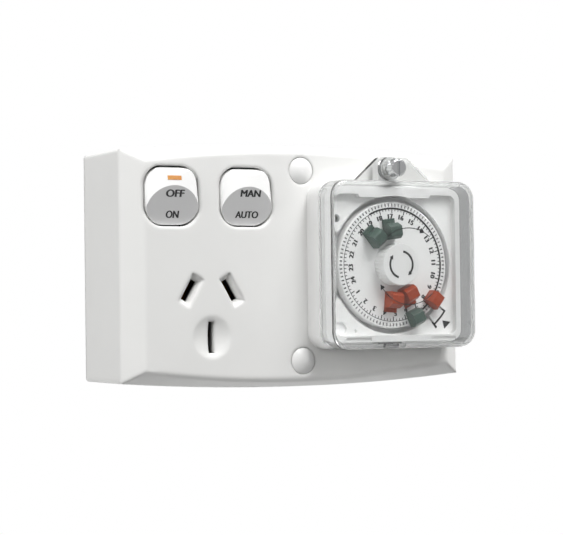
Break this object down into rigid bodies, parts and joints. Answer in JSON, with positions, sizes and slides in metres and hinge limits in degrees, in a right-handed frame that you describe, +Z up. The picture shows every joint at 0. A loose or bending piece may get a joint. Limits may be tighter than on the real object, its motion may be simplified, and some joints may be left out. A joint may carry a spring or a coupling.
{
  "type": "switched socket outlet with time switch",
  "caption": "Wall-mounted switched socket outlet with two rockers and a 24-hour mechanical time switch under a hinged clear cover.",
  "frame": {"origin": "centre of the flat back, which lies on the wall", "axes": "+X to the right seen from the front, +Y into the wall, +Z up; the front looks to -Y"},
  "size_m": [0.1192, 0.0474, 0.075],
  "materials": {
    "housing_white": "fine satin moulding",
    "rocker_white": "satin gloss",
    "frame_white": "fine satin moulding",
    "face_white": "fine satin moulding",
    "dial_white": "satin, printed hour scale",
    "hub_grey": "satin",
    "lens_orange": "translucent orange",
    "tappet_green": "satin",
    "tappet_orange": "satin",
    "block_black": "matt",
    "movement_black": "matt",
    "plunger_nylon": "matt",
    "gear_acetal": "satin",
    "contact_brass": "stamped",
    "arm_bronze": "stamped",
    "plated_steel": "zinc plated",
    "motor_steel": "drawn, plated",
    "screw_chrome": "polished",
    "cover_clear": "clear moulded plastic",
    "bush_clear": "clear moulded plastic"
  },
  "bodies": {
    "housing": {"active_contact": "contact_brass", "arm_bracket_mode": "contact_brass", "arm_bracket_power": "contact_brass", "back_plate": "housing_white", "base_screws": "plated_steel", "block_screws": "plated_steel", "contact_block": "block_black", "cover_hinge_pin": "plated_steel", "dial_spindle": "plated_steel", "earth_contact": "contact_brass", "fixed_contacts": "contact_brass", "front_housing": "housing_white", "housing_screws": "plated_steel", "latch_bush": "bush_clear", "lever_pin": "plated_steel", "microswitch": "block_black", "motor": "motor_steel", "motor_screws": "plated_steel", "movement_plate": "movement_black", "movement_screws": "plated_steel", "neutral_contact": "contact_brass", "rear_cover": "movement_black", "screw_cap_bottom": "housing_white", "screw_cap_top": "housing_white", "switch_base_mode": "block_black", "switch_base_power": "block_black", "terminal_screws": "plated_steel", "timer_face": "face_white", "timer_frame": "frame_white", "train_arbor": "plated_steel"},
    "power_rocker": {"rocker_power": "rocker_white", "indicator_lens": "lens_orange", "plunger_power": "plunger_nylon"},
    "mode_rocker": {"rocker_mode": "rocker_white", "plunger_mode": "plunger_nylon"},
    "power_arm": {"contact_arm_power": "arm_bronze"},
    "mode_arm": {"contact_arm_mode": "arm_bronze"},
    "time_dial": {"dial": "dial_white", "hub_knob": "hub_grey", "dial_gear": "gear_acetal", "tappet_green": "tappet_green", "tappet_orange": "tappet_orange", "parked_tappets_green": "tappet_green", "parked_tappets_orange": "tappet_orange"},
    "train": {"train_wheel": "gear_acetal"},
    "motor_drive": {"motor_pinion": "gear_acetal", "motor_shaft": "plated_steel"},
    "lever": {"trip_lever": "face_white"},
    "button": {"switch_button": "plunger_nylon"},
    "cover": {"clear_cover": "cover_clear"},
    "thumb_screw": {"cover_screw": "screw_chrome"}
  },
  "joints": [
    {"name": "rocker_power_tilt", "type": "hinge", "parent": "housing", "child": "power_rocker", "pos_m": [-0.0443, -0.0272, 0.021], "axis": [1, 0, 0], "range_deg": [-8, 0]},
    {"name": "rocker_mode_tilt", "type": "hinge", "parent": "housing", "child": "mode_rocker", "pos_m": [-0.0193, -0.0272, 0.021], "axis": [1, 0, 0], "range_deg": [-8, 0]},
    {"name": "contact_arm_power_tilt", "type": "hinge", "parent": "housing", "child": "power_arm", "pos_m": [-0.0443, -0.0135, 0.021], "axis": [1, 0, 0], "range_deg": [0, 12]},
    {"name": "contact_arm_mode_tilt", "type": "hinge", "parent": "housing", "child": "mode_arm", "pos_m": [-0.0193, -0.0135, 0.021], "axis": [1, 0, 0], "range_deg": [0, 12]},
    {"name": "dial_turn", "type": "hinge", "parent": "housing", "child": "time_dial", "pos_m": [0.0279, -0.038, 0], "axis": [0, 1, 0], "continuous": true},
    {"name": "train_wheel_turn", "type": "hinge", "parent": "housing", "child": "train", "pos_m": [0.01454, -0.028, 0.01336], "axis": [0, 1, 0], "continuous": true},
    {"name": "motor_pinion_turn", "type": "hinge", "parent": "housing", "child": "motor_drive", "pos_m": [0.02217, -0.026, 0.00573], "axis": [0, 1, 0], "continuous": true},
    {"name": "trip_lever_turn", "type": "hinge", "parent": "housing", "child": "lever", "pos_m": [0.04952, -0.036, -0.01514], "axis": [0, -1, 0], "range_deg": [0, 5]},
    {"name": "microswitch_button_slide", "type": "slide", "parent": "housing", "child": "button", "axis": [1, 0, 0], "range_m": [0, 0.0004]},
    {"name": "cover_hinge", "type": "hinge", "parent": "housing", "child": "cover", "pos_m": [0.0258, -0.0374, -0.0251], "axis": [1, 0, 0], "range_deg": [0, 100]},
    {"name": "cover_screw_turn", "type": "hinge", "parent": "cover", "child": "thumb_screw", "pos_m": [0.0279, -0.0412, 0.0303], "axis": [0, 1, 0], "range_deg": [0, 90]}
  ],
  "couplings": [
    {"joint": "contact_arm_power_tilt", "follows": "rocker_power_tilt", "ratio": -1.5},
    {"joint": "contact_arm_mode_tilt", "follows": "rocker_mode_tilt", "ratio": -1.5},
    {"joint": "train_wheel_turn", "follows": "dial_turn", "ratio": -6},
    {"joint": "motor_pinion_turn", "follows": "dial_turn", "ratio": 18},
    {"joint": "microswitch_button_slide", "follows": "trip_lever_turn", "m_per_rad": 0.00426}
  ]
}
